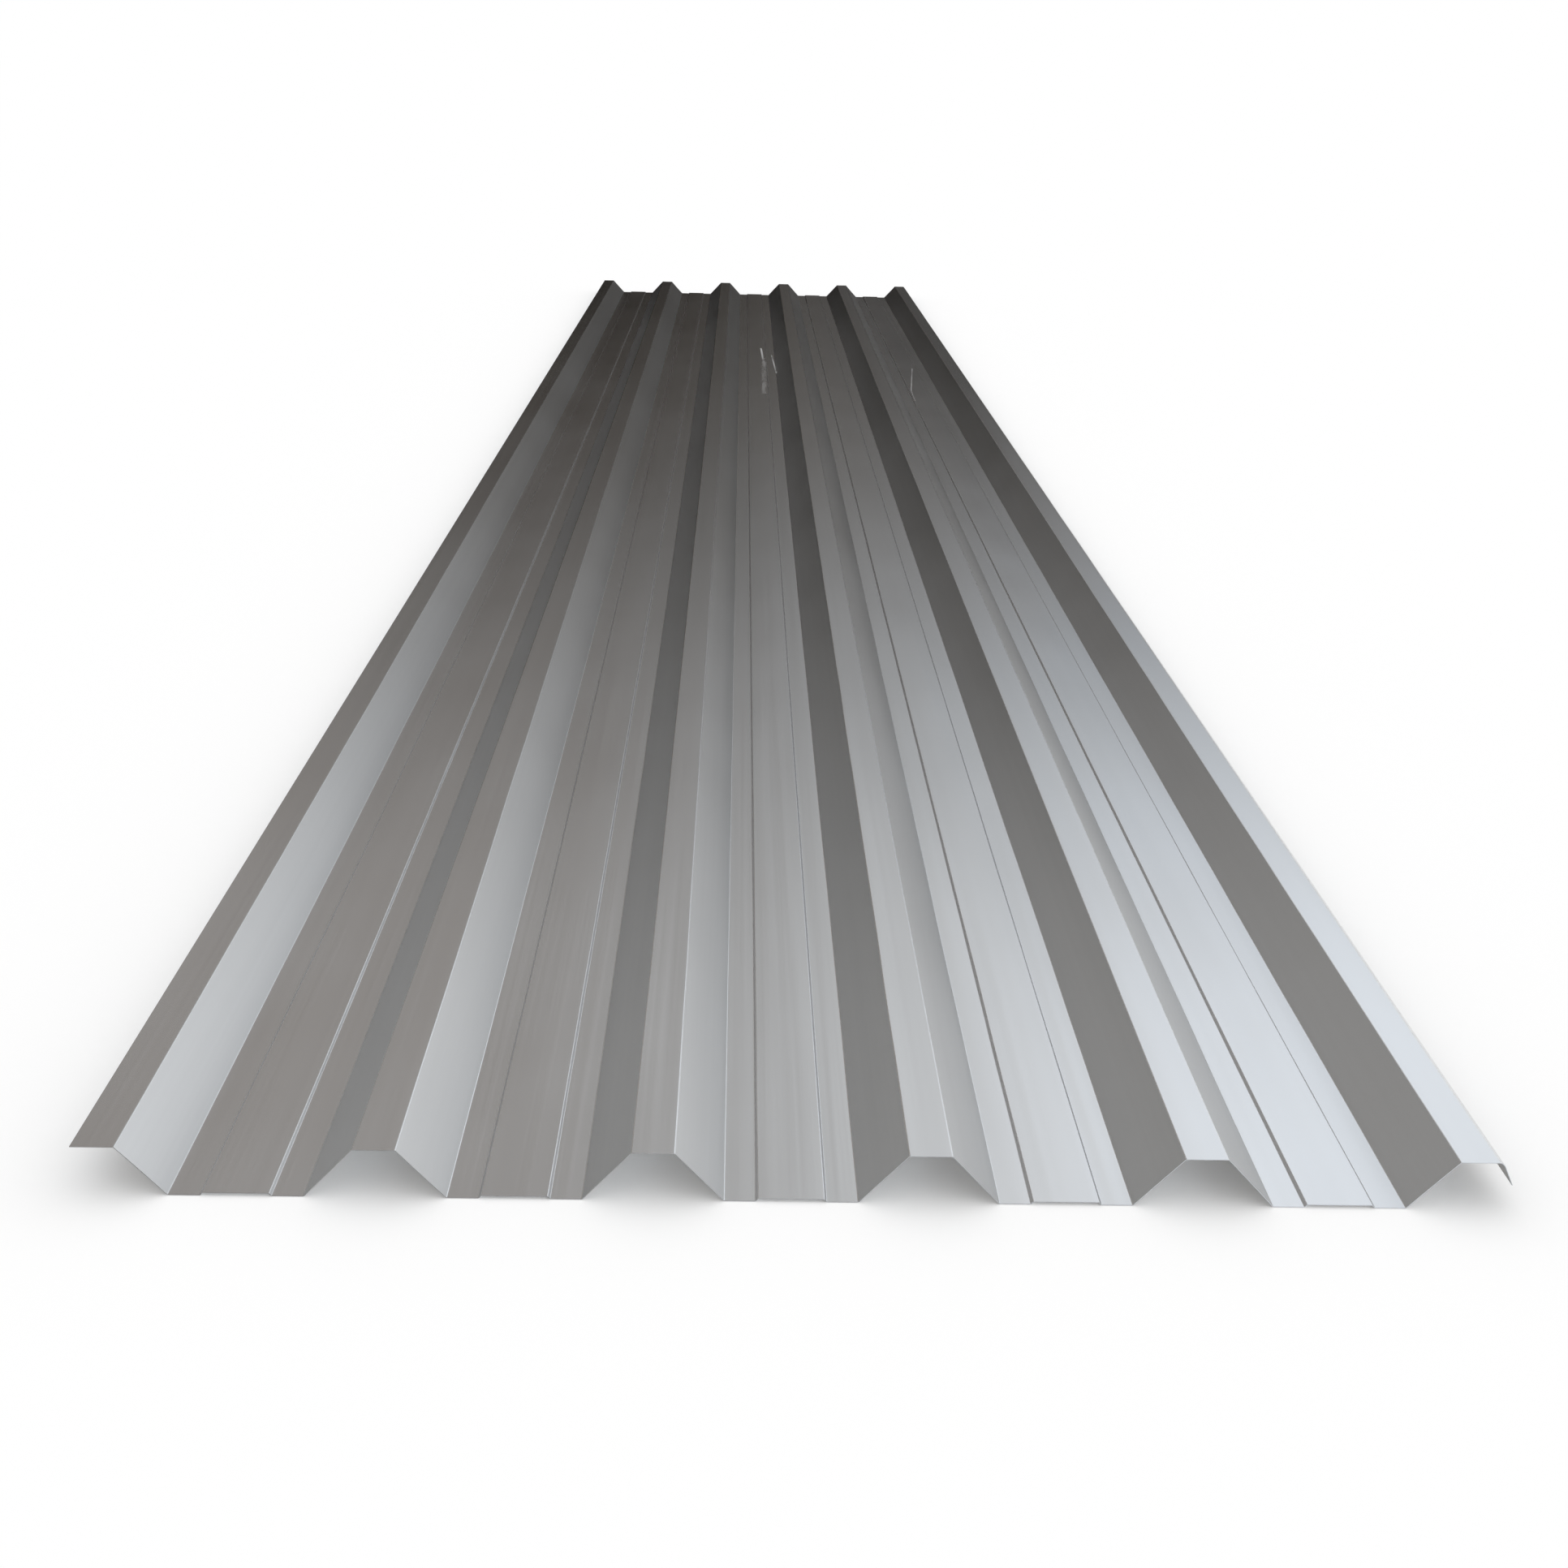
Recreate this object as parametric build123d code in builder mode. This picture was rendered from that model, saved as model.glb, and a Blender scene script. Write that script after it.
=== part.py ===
"""Trapezoidal corrugated steel sheet for roofs and walls, lying flat on its pans.

One sheet of coil stock, roll-formed into six narrow crests and five wide pans. Each pan has a
shallow raised swage along its middle. The left edge ends in a bare crest, which the next sheet
laps over, and the right edge ends in a crest with a short turned-down lip.

+X runs across the sheet, +Y along its length and +Z up. The origin is under the middle of the
sheet, on the surface that the pans rest on. All sizes are in millimetres.
"""

import os
from math import hypot

from build123d import *

# Sheet metal and cut length
thickness = 0.5
sheet_length = 6000.0

# Main corrugation, measured between the sharp corners of the underside
pitch = 200.0
pitch_count = 5
depth = 38.0
crest_width = 31.0
pan_width = 98.0

# Raised swage along the middle of each pan
swage_top_width = 48.0
swage_side_run = 1.5
swage_rise = 2.0

# Turned-down lip at the right edge
lip_run = 8.6
lip_drop = 18.0

# Inside radii of the rolled bends
bend_radius = 1.5
swage_bend_radius = 0.8
lip_bend_radius = 5.0

# Sizes that follow from those above
lip_slant = hypot(lip_run, lip_drop)
overall_width = pitch_count * pitch + crest_width + lip_run + thickness * lip_drop / lip_slant
left_edge = -overall_width / 2
web_run = (pitch - crest_width - pan_width) / 2


def pan_corners(pan_left):
    """Corners of one pan's underside from left to right, each with its inside bend radius."""
    pan_middle = pan_left + pan_width / 2
    swage_half_top = swage_top_width / 2
    swage_half_foot = swage_half_top + swage_side_run
    return [
        (pan_left, 0, bend_radius),
        (pan_middle - swage_half_foot, 0, swage_bend_radius),
        (pan_middle - swage_half_top, swage_rise, swage_bend_radius),
        (pan_middle + swage_half_top, swage_rise, swage_bend_radius),
        (pan_middle + swage_half_foot, 0, swage_bend_radius),
        (pan_left + pan_width, 0, bend_radius),
    ]


def underside_corners():
    """Every bend of the underside from the bare left crest to the lip."""
    corners = [(left_edge + crest_width, depth, bend_radius)]
    for index in range(pitch_count):
        crest_left = left_edge + (index + 1) * pitch
        is_lipped = index == pitch_count - 1
        corners += pan_corners(left_edge + index * pitch + crest_width + web_run)
        corners += [
            (crest_left, depth, bend_radius),
            (crest_left + crest_width, depth, lip_bend_radius if is_lipped else bend_radius),
        ]
    return corners


def underside_radius(before, corner, after):
    """Radius of the underside at a corner, which lies outside the bend where the line turns up."""
    x, z, inside_radius = corner
    turn = (x - before[0]) * (after[1] - z) - (z - before[1]) * (after[0] - x)
    return inside_radius + thickness if turn > 0 else inside_radius


bends = underside_corners()
right_crest_x, right_crest_z, _ = bends[-1]
lip_end = (right_crest_x + lip_run, right_crest_z - lip_drop)
underside = [(left_edge, depth), *bends, lip_end]
radii = [underside_radius(*underside[i : i + 3]) for i in range(len(bends))]

with BuildPart() as corrugated_sheet:
    with BuildSketch(Plane.XZ) as section:
        with BuildLine():
            wall = FilletPolyline(*[point[:2] for point in underside], radius=radii)
            offset(wall, amount=thickness, side=Side.LEFT)
        make_face()
    extrude(amount=sheet_length / 2, both=True)

corrugated_sheet.part.label = "corrugated_sheet"

os.makedirs("parts", exist_ok=True)
export_step(corrugated_sheet.part, "parts/corrugated_sheet.step")
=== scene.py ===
"""Looks of a trapezoidal corrugated steel sheet that lies flat on its pans.

The sheet's section is rolled here with the same bends as the frame's node, and swept along the
length through stations at which the flats are slightly wavy and the creases wander a little, as
they do in thin steel. Lengths are in metres, +X across the sheet, +Y along it and +Z up.
"""

from math import atan2, cos, hypot, pi, radians, sin, tan

import bpy
import numpy as np
from mathutils import Matrix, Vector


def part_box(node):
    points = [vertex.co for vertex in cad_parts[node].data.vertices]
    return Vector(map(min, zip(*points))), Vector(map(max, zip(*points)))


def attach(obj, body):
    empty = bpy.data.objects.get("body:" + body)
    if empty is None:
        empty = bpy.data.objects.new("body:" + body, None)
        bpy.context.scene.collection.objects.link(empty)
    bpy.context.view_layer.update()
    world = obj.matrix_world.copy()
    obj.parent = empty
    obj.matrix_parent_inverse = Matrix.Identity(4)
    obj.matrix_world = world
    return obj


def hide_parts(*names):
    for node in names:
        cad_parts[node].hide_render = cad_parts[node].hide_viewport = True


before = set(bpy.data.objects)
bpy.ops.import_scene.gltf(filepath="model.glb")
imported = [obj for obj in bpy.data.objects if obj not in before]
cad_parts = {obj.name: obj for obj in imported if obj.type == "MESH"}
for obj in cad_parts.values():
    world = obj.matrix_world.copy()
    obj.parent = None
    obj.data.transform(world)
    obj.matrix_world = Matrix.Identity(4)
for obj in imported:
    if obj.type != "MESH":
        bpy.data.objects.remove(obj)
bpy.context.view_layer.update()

NODE = "corrugated_sheet"
sheet_low, sheet_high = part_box(NODE)

# Section of the sheet, between the sharp corners of its underside
thickness = 0.0005
pitch = 0.200
pitch_count = 5
crest_width = 0.031
pan_width = 0.098
swage_top_width = 0.048
swage_side_run = 0.0015
swage_rise = 0.0020
lip_run = 0.0086
lip_drop = 0.018
bend_radius = 0.0015
swage_bend_radius = 0.0008
lip_bend_radius = 0.005

# Sizes that follow from those above and from the frame
left_edge = sheet_low[0]
sheet_length = sheet_high[1] - sheet_low[1]
depth = sheet_high[2] - sheet_low[2] - thickness
web_run = (pitch - crest_width - pan_width) / 2

# How finely the section and the length are divided. Flats up to narrow_flat wide stay whole.
bend_steps = 4
swage_bend_steps = 2
flat_steps = 3
narrow_flat = 0.008
station_gap = 0.031

# How far the thin steel departs from a perfect section
flat_wave = 0.00025
flat_wavelengths = (0.25, 1.4)
crease_wander = 0.00022
crease_wavelengths = (0.15, 1.1)
waves_seed = 38

# A wave is a sum of sines over this share of their number, which it seldom passes
sines_in_wave = 7
usual_reach = 0.6

# Creases up to this angle are shaded softly, and large faces set the shading at their corners
sharp_angle = radians(40)
large_face_weight = 100

# Where each side of the sheet lies across its unrolled map
map_name = "OFBake"
top_band = (0.004, 0.484)
underside_band = (0.490, 0.970)
near_end_band = (0.974, 0.979)
far_end_band = (0.982, 0.987)
left_edge_band = (0.990, 0.993)
right_edge_band = (0.995, 0.998)

# Material slots of the sheet
TOP, UNDERSIDE, CUT = range(3)

# Directions and colours that shaders use
ACROSS = (1, 0, 0)
ALONG = (0, 1, 0)
UP = (0, 0, 1)
WHITE = (1, 1, 1, 1)


def pan_corners(pan_left):
    """Corners of one pan's underside, each with its inside bend radius."""
    middle = pan_left + pan_width / 2
    half_top = swage_top_width / 2
    half_foot = half_top + swage_side_run
    return [
        (pan_left, 0, bend_radius),
        (middle - half_foot, 0, swage_bend_radius),
        (middle - half_top, swage_rise, swage_bend_radius),
        (middle + half_top, swage_rise, swage_bend_radius),
        (middle + half_foot, 0, swage_bend_radius),
        (pan_left + pan_width, 0, bend_radius),
    ]


def section_corners():
    """Corners of the whole underside, from the bare left edge to the end of the lip."""
    corners = [(left_edge, depth, 0), (left_edge + crest_width, depth, bend_radius)]
    for index in range(pitch_count):
        crest_left = left_edge + (index + 1) * pitch
        is_lipped = index == pitch_count - 1
        corners += pan_corners(left_edge + index * pitch + crest_width + web_run)
        corners.append((crest_left, depth, bend_radius))
        corners.append((crest_left + crest_width, depth, lip_bend_radius if is_lipped else bend_radius))
    corners.append((corners[-1][0] + lip_run, depth - lip_drop, 0))
    return corners


def flat_points(number, start, end, heading, travelled):
    """Points of a flat, without its last: place, heading, steel passed, freedom and number.

    The middle of a flat as wide as a swage's top moves freely, and that of a narrower flat less.
    """
    length = hypot(*(end - start))
    steps = flat_steps if length > narrow_flat else 1
    slack = min(1.0, length / swage_top_width)
    shares = [step / steps for step in range(steps)]
    return [
        (*(start + share * (end - start)), heading, travelled + share * length,
         slack * sin(pi * share), number)
        for share in shares
    ]


def bend_points(number, start, heading, turn, radius, steps, travelled):
    """Points of a bend, the last one included, in the same form as those of a flat."""
    side = 1 if turn > 0 else -1
    centre = start + side * radius * np.array([-sin(heading), cos(heading)])
    points = []
    for step in range(steps + 1):
        angle = heading + turn * step / steps
        place = centre + side * radius * np.array([sin(angle), -cos(angle)])
        points.append((*place, angle, travelled + radius * abs(turn) * step / steps, 0, number))
    return points


def rolled_section(corners):
    """Points of the underside from left to right, and where along the steel each crease lies."""
    points, creases = [], []
    start, travelled = np.array(corners[0][:2]), 0.0
    for number in range(1, len(corners)):
        before, here = np.array(corners[number - 1][:2]), np.array(corners[number][:2])
        heading = atan2(*(here - before)[::-1])
        if number == len(corners) - 1:
            break
        after = np.array(corners[number + 1][:2])
        turn = atan2(*(after - here)[::-1]) - heading
        inside_radius = corners[number][2]
        radius = inside_radius + (thickness if turn > 0 else 0)
        reach = radius * abs(tan(turn / 2))
        flat_end = here - reach * np.array([cos(heading), sin(heading)])
        points += flat_points(number, start, flat_end, heading, travelled)
        travelled += hypot(*(flat_end - start))
        steps = swage_bend_steps if inside_radius == swage_bend_radius else bend_steps
        bend = bend_points(number, flat_end, heading, turn, radius, steps, travelled)
        creases.append(travelled + radius * abs(turn) / 2)
        travelled += radius * abs(turn)
        points += bend[:-1]
        start = np.array(bend[-1][:2])
    points += flat_points(number, start, here, heading, travelled)
    travelled += hypot(*(here - start))
    points.append((*here, heading, travelled, 0, number))
    return np.array(points).T, creases


def slow_wave(random, along, wavelengths):
    """A smooth random curve within -1 and 1, from sines of mixed wavelengths."""
    total = np.zeros_like(along)
    for _ in range(sines_in_wave):
        total += np.sin(2 * pi * (along / random.uniform(*wavelengths) + random.uniform()))
    return np.clip(total / (usual_reach * sines_in_wave), -1, 1)


def flat_waves(random, corners, along):
    """How far each flat is pushed along its normal at each station, as a share of flat_wave.

    Pans rest on the floor and crests reach the top of the box, so those only move inwards.
    """
    waves = [np.zeros_like(along)]
    for before, here in zip(corners, corners[1:]):
        wave = slow_wave(random, along, flat_wavelengths)
        if before[1] == here[1] == 0:
            wave = (1 + wave) / 2
        elif before[1] == here[1] == depth:
            wave = -(1 + wave) / 2
        waves.append(wave)
    return np.array(waves)


def crease_shifts(random, creases, travelled, along):
    """Sideways shift of each point at each station, as a share of crease_wander."""
    marks = [0, *creases, travelled[-1]]
    still = np.zeros_like(along)
    shifts = [still, *(slow_wave(random, along, crease_wavelengths) for _ in creases), still]
    return np.array([np.interp(travelled, marks, station) for station in np.array(shifts).T])


def swept_points(corners, section, creases, along):
    """Underside and top as two grids of points, by station and by place across."""
    random = np.random.default_rng(waves_seed)
    x, z, heading, travelled, freedom, flat = section
    push = flat_waves(random, corners, along)[flat.astype(int)].T * freedom * flat_wave
    shift = crease_shifts(random, creases, travelled, along) * crease_wander
    grids = []
    for lift in (0, thickness):
        across = x - np.sin(heading) * (lift + push) + shift
        up = z + np.cos(heading) * (lift + push)
        grids.append(np.stack([across, np.broadcast_to(along[:, None], up.shape), up], axis=-1))
    return np.array(grids)


def quad_corners(values):
    """The four corners of each cell of a grid of values, counterclockwise."""
    cells = [values[:-1, :-1], values[:-1, 1:], values[1:, 1:], values[1:, :-1]]
    return np.stack(cells, axis=-1).reshape(-1, 4)


def patch(numbers, u, v, slot):
    """Faces, map and slots of a grid of vertex numbers that is seen from outside."""
    u, v = np.broadcast_to(u, numbers.shape), np.broadcast_to(v, numbers.shape)
    faces = quad_corners(numbers)
    return faces, np.stack([quad_corners(u), quad_corners(v)], axis=-1), np.full(len(faces), slot)


def within(band, share):
    """Place at a share of the way across a band of the map."""
    return band[0] + (band[1] - band[0]) * share


def sheet_patches(numbers, along_share, across_share):
    """Top, underside, ends and edges of the sheet, from the numbers of its points."""
    under, top = numbers
    rim = np.array([[0.0], [1.0]])
    v = along_share[:, None]
    return [
        patch(top, within(top_band, across_share), v, TOP),
        patch(under[:, ::-1], within(underside_band, across_share[::-1]), v, UNDERSIDE),
        patch(numbers[:, 0], within(near_end_band, rim), across_share, CUT),
        patch(numbers[:, -1, ::-1], within(far_end_band, rim), across_share[::-1], CUT),
        patch(numbers[:, ::-1, 0], within(left_edge_band, rim), along_share[::-1], CUT),
        patch(numbers[:, :, -1], within(right_edge_band, rim), along_share, CUT),
    ]


def build_sheet(materials):
    """The sheet as one closed mesh."""
    corners = section_corners()
    section, creases = rolled_section(corners)
    along = np.linspace(sheet_low[1], sheet_high[1], round(sheet_length / station_gap) + 1)
    points = swept_points(corners, section, creases, along)
    numbers = np.arange(points[..., 0].size).reshape(points.shape[:3])
    travelled = section[3]
    patches = sheet_patches(numbers, (along - along[0]) / sheet_length, travelled / travelled[-1])
    faces, maps, slots = (np.concatenate(parts) for parts in zip(*patches))

    mesh = bpy.data.meshes.new(NODE + "_rolled")
    mesh.from_pydata(points.reshape(-1, 3), [], faces)
    mesh.uv_layers.new(name=map_name).uv.foreach_set("vector", maps.ravel())
    for material in materials:
        mesh.materials.append(material)
    mesh.polygons.foreach_set("material_index", slots)
    mesh.shade_smooth()
    mesh.set_sharp_from_angle(angle=sharp_angle)
    sheet = bpy.data.objects.new("rolled_sheet", mesh)
    bpy.context.scene.collection.objects.link(sheet)
    weighted = sheet.modifiers.new("Flats stay flat", "WEIGHTED_NORMAL")
    weighted.keep_sharp = True
    weighted.weight = large_face_weight
    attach(sheet, "root")
    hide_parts(NODE)


class Graph:
    """Short calls that build the node tree of a material or of the world."""

    def __init__(self, tree):
        self.tree = tree
        tree.nodes.clear()

    def add(self, kind, inputs=(), output=0, **settings):
        """Adds a node, sets it up, links or sets its inputs, and returns one of its outputs."""
        node = self.tree.nodes.new("ShaderNode" + kind)
        for name, value in settings.items():
            setattr(node, name, value)
        for name, value in dict(inputs).items():
            self.feed(node.inputs[name], value)
        return node.outputs[output] if len(node.outputs) else node

    def feed(self, socket, value):
        """Links an input to another node's output, or sets it to a plain value."""
        if isinstance(value, bpy.types.NodeSocket):
            self.tree.links.new(value, socket)
        else:
            socket.default_value = value

    def maths(self, operation, *values, clamp=False):
        """A number worked out from others."""
        return self.add("Math", dict(enumerate(values)), operation=operation, use_clamp=clamp)

    def vector(self, operation, *values, output="Vector"):
        """A vector worked out from others, or a number if that is the output asked for."""
        return self.add("VectorMath", dict(enumerate(values)), output, operation=operation)

    def dot(self, first, second):
        """The dot product of two vectors."""
        return self.vector("DOT_PRODUCT", first, second, output="Value")

    def place(self):
        """Place on the object, in metres along its own axes."""
        return self.add("TexCoord", output="Object")

    def scaled(self, value, source, target, smooth=False):
        """The value mapped from one range to another, and held at its ends."""
        inputs = {"Value": value}
        inputs |= {"From Min": source[0], "From Max": source[1]}
        inputs |= {"To Min": target[0], "To Max": target[1]}
        return self.add("MapRange", inputs, interpolation_type="SMOOTHSTEP" if smooth else "LINEAR")

    def noise(self, place, stretch, detail):
        """Noise about 0.5 whose grain is one over stretch along each axis."""
        spread = self.vector("MULTIPLY", place, stretch)
        return self.add("TexNoise", {"Vector": spread, "Scale": 1.0, "Detail": detail})

    def around(self, turn, stops):
        """A smooth ramp of colours or triples over half a turn, from stops at degrees."""
        ramp_output = self.add("ValToRGB", {"Fac": self.maths("DIVIDE", turn, pi)})
        ramp = ramp_output.node.color_ramp
        ramp.interpolation = "EASE"
        for _ in stops[2:]:
            ramp.elements.new(1.0)
        for element, (degrees, triple) in zip(ramp.elements, stops):
            element.position = degrees / 180
            element.color = (*triple, 1)
        return ramp_output

    def mixed(self, share, first, second):
        """A colour between two others."""
        inputs = {"Factor": share, "A": first, "B": second}
        return self.add("Mix", inputs, "Result", data_type="RGBA")


def new_material(name):
    """A material and the graph that fills it."""
    material = bpy.data.materials.new(name)
    material.use_nodes = True
    return material, Graph(material.node_tree)


# Scuffs and scratches on the top: the points that each runs through, across and along the
# sheet, its half width and how strong it is
scuffs = [
    ([(0.008, 1.606), (0.013, 1.330)], 0.0034, 1.0),
    ([(0.014, 1.400), (0.010, 0.780)], 0.0080, 0.35),
    ([(0.036, 1.476), (0.045, 1.138)], 0.0024, 1.0),
    ([(0.409, 1.265), (0.377, 0.879), (0.374, 0.712)], 0.0013, 1.0),
]

# A scuff is full up to this share of its half width. The noise in scuff_noise breaks it up, from
# faintest_scuff to full.
scuff_core = 0.3
scuff_grain, scuff_detail = (60, 9, 0), 3
scuff_noise = (0.38, 0.62)
faintest_scuff = 0.25

# Colour of a full scuff, how much rougher it is and how metallic it still is
scuff_colour = (0.9, 0.9, 0.9, 1)
scuff_roughness = 0.3
scuff_metal = 0.5


def stroke(graph, place, start, end, half_width):
    """Mask of a soft straight stroke between two points, seen from above."""
    flat_place = graph.vector("MULTIPLY", place, (1, 1, 0))
    offset = graph.vector("SUBTRACT", flat_place, (*start, 0))
    run = (end[0] - start[0], end[1] - start[1], 0)
    share = graph.maths("DIVIDE", graph.dot(offset, run), run[0] ** 2 + run[1] ** 2, clamp=True)
    step = graph.add("VectorMath", {0: run, "Scale": share}, operation="SCALE")
    distance = graph.vector("DISTANCE", offset, step, output="Value")
    return graph.scaled(distance, (half_width * scuff_core, half_width), (1, 0), smooth=True)


def scuff_mask(graph, place):
    """Mask of all scuffs, broken up along their length."""
    noise = graph.noise(place, scuff_grain, scuff_detail)
    broken = graph.scaled(noise, scuff_noise, (faintest_scuff, 1))
    mask = 0.0
    for points, half_width, strength in scuffs:
        for start, end in zip(points, points[1:]):
            one = graph.maths("MULTIPLY", stroke(graph, place, start, end, half_width), strength)
            mask = graph.maths("MAXIMUM", mask, one)
    return graph.maths("MULTIPLY", mask, broken)


# Tone and roughness of the coating on each side, and how far its marks are shifted, so that the
# two sides differ
top_tone = (0.70, 0.70, 0.695)
top_roughness = 0.22
top_shift = 0.0
underside_tone = (0.66, 0.66, 0.65)
underside_roughness = 0.27
underside_shift = 7.0

# Marks of the coating: how many grains they have in a metre across, along and up, and their detail
line_grain, line_detail = (260, 1.3, 0), 3
streak_grain, streak_detail = (34, 0.45, 0), 2
cloud_grain, cloud_detail = (5.5, 2.1, 3.0), 4

# Part that each kind of mark has in the lightness of the coating, the range that lightness has,
# and the shares of the tone at its ends
streak_part = 0.5
cloud_part = 0.5
line_part = 0.35
lightness_range = (0.3, 0.7)
tone_shares = (0.95, 1.03)

# Part that the lines have in the dullness beside the clouds, the range that dullness has, and
# what its ends add to the roughness
line_dullness = 0.4
dullness_range = (0.5, 0.95)
dullness_steps = (-0.02, 0.03)

# How much rougher the webs are than the flats. By the upward part of a face's direction, what is
# under web_facing counts as web and what is over flat_facing as flat.
web_roughness = 0.12
web_facing = 0.75
flat_facing = 0.95

# The rolling lines along the sheet spread reflections across it, and the rolls leave it faintly
# uneven across
rolled_spread = 1.0
roller_marks = 0.0004
grazing_tint = (0.85, 0.85, 0.85, 1)


def coating_colour(graph, tone, lines, streaks, clouds):
    """Colour of the coating, lighter and darker than its tone by its marks."""
    from_streaks = graph.maths("MULTIPLY", streaks, streak_part)
    from_clouds = graph.maths("MULTIPLY", clouds, cloud_part)
    from_lines = graph.maths("MULTIPLY", graph.maths("SUBTRACT", lines, 0.5), line_part)
    lightness = graph.maths("ADD", graph.maths("ADD", from_streaks, from_clouds), from_lines)
    darkest, lightest = ((*(share * part for part in tone), 1) for share in tone_shares)
    return graph.mixed(graph.scaled(lightness, lightness_range, (0, 1)), darkest, lightest)


def coating_roughness(graph, roughness, lines, clouds):
    """Roughness of the coating: duller clouds where it was handled, duller lines and webs."""
    dullness = graph.maths("ADD", clouds, graph.maths("MULTIPLY", lines, line_dullness))
    dull = graph.scaled(dullness, dullness_range, dullness_steps)
    facing_up = graph.maths("ABSOLUTE", graph.dot(graph.add("NewGeometry", output="Normal"), UP))
    on_web = graph.scaled(facing_up, (web_facing, flat_facing), (web_roughness, 0))
    return graph.maths("ADD", graph.maths("ADD", dull, roughness), on_web)


def coated_steel(name, tone, roughness, shift, scuffed):
    """Smooth metallic coating with fine marks along the rolling direction."""
    material, graph = new_material(name)
    place = graph.place()
    shifted = graph.vector("ADD", place, (shift, 2 * shift, 0))
    lines = graph.noise(shifted, line_grain, line_detail)
    streaks = graph.noise(shifted, streak_grain, streak_detail)
    clouds = graph.noise(shifted, cloud_grain, cloud_detail)

    colour = coating_colour(graph, tone, lines, streaks, clouds)
    matt = coating_roughness(graph, roughness, lines, clouds)
    metal = 1.0
    if scuffed:
        mask = scuff_mask(graph, place)
        colour = graph.mixed(mask, colour, scuff_colour)
        matt = graph.maths("ADD", matt, graph.maths("MULTIPLY", mask, scuff_roughness))
        metal = graph.scaled(mask, (0, 1), (1, scuff_metal))
    bump = graph.add("Bump", {"Strength": 1.0, "Distance": roller_marks, "Height": streaks})
    across = graph.add("Tangent", direction_type="UV_MAP", uv_map=map_name)
    inputs = {"Base Color": colour, "Metallic": metal, "Roughness": matt, "Normal": bump}
    inputs |= {"Anisotropic": rolled_spread, "Tangent": across, "Specular Tint": grazing_tint}
    surface = graph.add("BsdfPrincipled", inputs)
    graph.add("OutputMaterial", {"Surface": surface})
    return material


# Cut edges: their fine marks, the darkest and lightest of their colours, and the range of the
# marks over which the roughness goes from its first value to its last
shear_grain, shear_detail = (900, 900, 60), 2
shear_colours = ((0.42, 0.42, 0.43, 1), (0.62, 0.62, 0.62, 1))
shear_range = (0.3, 0.7)
shear_roughness = (0.32, 0.5)


def cut_steel():
    """Bare sheared steel of the sheet's ends and edges."""
    material, graph = new_material("Cut edge")
    shear = graph.noise(graph.place(), shear_grain, shear_detail)
    colour = graph.mixed(shear, *shear_colours)
    matt = graph.scaled(shear, shear_range, shear_roughness)
    surface = graph.add("BsdfPrincipled", {"Base Color": colour, "Metallic": 1.0, "Roughness": matt})
    graph.add("OutputMaterial", {"Surface": surface})
    return material


# Light and surroundings
floor_size = 160.0
floor_gap = 0.0002
tent_radius = 60.0
tent_segments = 48
tent_rings = 24
daylight_strength = 1.0

# Glow of the tent around the length of the sheet, by degrees from the floor on the right, up and
# over to the left
tent_glow = [
    (5, (1.15, 1.15, 1.15)),
    (15, (1.75, 1.75, 1.75)),
    (26, (0.12, 0.12, 0.12)),
    (36, (1.52, 1.57, 1.62)),
    (50, (1.04, 1.12, 1.22)),
    (60, (1.19, 1.30, 1.46)),
    (73, (1.20, 1.22, 1.24)),
    (89, (0.320, 0.315, 0.310)),
    (112, (0.372, 0.340, 0.316)),
    (128, (0.344, 0.322, 0.308)),
    (150, (0.340, 0.340, 0.333)),
]

# The tent's open far end, by the same degrees around: where the dark of it starts to lift and
# where the tent is fully lit, as degrees from the length of the sheet, and how much glow is left
opening_rims = [
    (12, (6.0, 27.5, 0.020)),
    (26, (12.0, 37.5, 0.025)),
    (48, (9.5, 34.5, 0.052)),
    (62, (7.5, 33.2, 0.058)),
    (80, (1.5, 28.5, 0.050)),
    (95, (0.0, 24.5, 0.030)),
    (113, (2.5, 29.0, 0.014)),
    (126, (4.0, 31.0, 0.010)),
    (145, (11.0, 31.5, 0.002)),
]

# Tint of the dark, which fades over this range of the glow
far_tint = (1.10, 1.0, 0.90, 1)
tint_fades = (0.12, 0.4)


def build_floor():
    """Plain pale floor under the sheet, which glossy surfaces don't see."""
    material, graph = new_material("Floor")
    surface = graph.add("BsdfDiffuse", {"Color": WHITE})
    graph.add("OutputMaterial", {"Surface": surface})
    half = floor_size / 2
    level = sheet_low[2] - floor_gap
    corners = [(-half, -half, level), (half, -half, level), (half, half, level), (-half, half, level)]
    mesh = bpy.data.meshes.new("floor")
    mesh.from_pydata(corners, [], [(0, 1, 2, 3)])
    mesh.materials.append(material)
    floor = bpy.data.objects.new("floor", mesh)
    bpy.context.scene.collection.objects.link(floor)
    floor.visible_glossy = False


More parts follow.
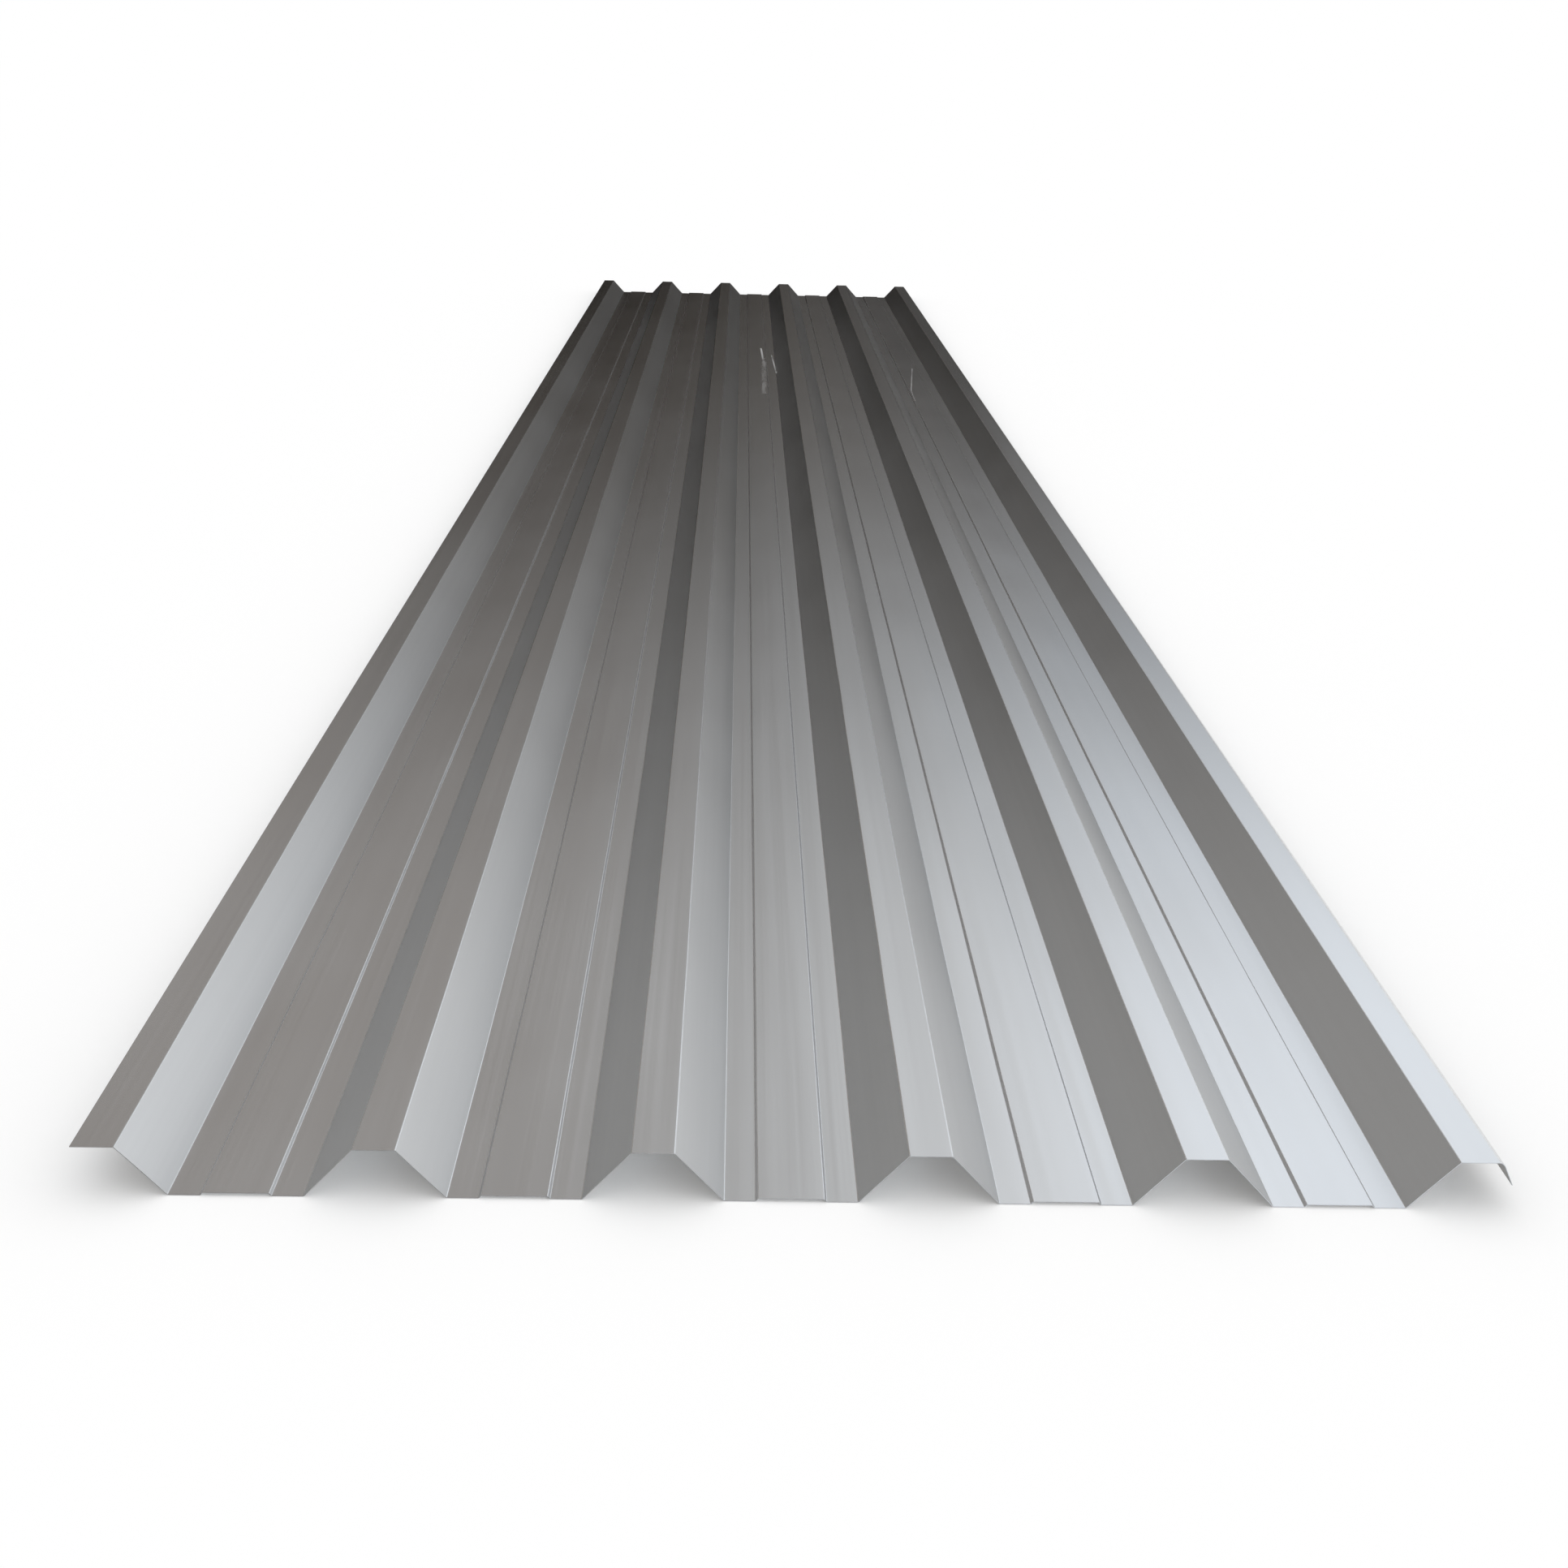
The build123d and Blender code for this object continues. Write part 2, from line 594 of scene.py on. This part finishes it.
def tent_material():
    """Glow of the studio tent, by direction.

    It is pale on the right but for a dim band low down, grey overhead and on the left, and dark
    at the far end, where it is open. Only mirrored rays reach it, so it isn't sampled as a lamp.
    """
    material, graph = new_material("Tent")
    direction = graph.vector("NORMALIZE", graph.place())
    sideways = graph.vector("NORMALIZE", graph.vector("MULTIPLY", direction, (1, 0, 1)))
    turn = graph.maths("ARCCOSINE", graph.dot(sideways, ACROSS))
    walls = graph.around(turn, tent_glow)

    from_far_end = graph.maths("DEGREES", graph.maths("ARCCOSINE", graph.dot(direction, ALONG)))
    rims = graph.add("SeparateXYZ", {"Vector": graph.around(turn, opening_rims)})
    dark_rim, lit_rim, left_over = rims.node.outputs
    lit = graph.scaled(from_far_end, (dark_rim, lit_rim), (left_over, 1), smooth=True)
    neutral = graph.scaled(lit, tint_fades, (0, 1))
    colour = graph.vector("MULTIPLY", walls, graph.mixed(neutral, far_tint, WHITE))
    glow = graph.add("Emission", {"Color": colour, "Strength": lit})
    graph.add("OutputMaterial", {"Surface": glow})
    material.cycles.emission_sampling = "NONE"
    return material


def build_tent():
    """Wide dome around everything that only glossy surfaces see, as studio reflectors."""
    bpy.ops.mesh.primitive_uv_sphere_add(segments=tent_segments, ring_count=tent_rings, radius=tent_radius)
    tent = bpy.context.object
    tent.name = "tent"
    tent.data.materials.append(tent_material())
    tent.visible_camera = False
    tent.visible_diffuse = False
    tent.visible_transmission = False
    tent.visible_volume_scatter = False
    tent.visible_shadow = False


def build_world():
    """Even white light from all around."""
    world = bpy.data.worlds.new("Studio")
    bpy.context.scene.world = world
    world.use_nodes = True
    graph = Graph(world.node_tree)
    light = graph.add("Background", {"Color": WHITE, "Strength": daylight_strength})
    graph.add("OutputWorld", {"Surface": light})


# Camera, as the photograph was taken
camera_place = (left_edge + 0.4685, sheet_low[1] - 1.3154, 0.7832)
camera_tilt = radians(19.366)
camera_turn = radians(-1.496)
camera_roll = radians(1.406)
camera_lens = 47.59
sensor_width = 36.0


def build_camera():
    """Camera at the place and with the lens and angles given above."""
    data = bpy.data.cameras.new("Camera")
    data.sensor_width = sensor_width
    data.sensor_fit = "HORIZONTAL"
    data.lens = camera_lens
    data.clip_end = 4 * tent_radius
    camera = bpy.data.objects.new("Camera", data)
    bpy.context.scene.collection.objects.link(camera)
    aim = Matrix.Rotation(pi / 2 - camera_tilt, 4, "X") @ Matrix.Rotation(camera_roll, 4, "Z")
    camera.matrix_world = Matrix.Translation(camera_place) @ Matrix.Rotation(camera_turn, 4, "Z") @ aim
    bpy.context.scene.camera = camera


build_camera()
build_world()
build_floor()
build_tent()
build_sheet([
    coated_steel("Coated steel, top", top_tone, top_roughness, top_shift, scuffed=True),
    coated_steel(
        "Coated steel, underside", underside_tone, underside_roughness, underside_shift, scuffed=False),
    cut_steel(),
])
bpy.context.scene.view_settings.view_transform = "Standard"
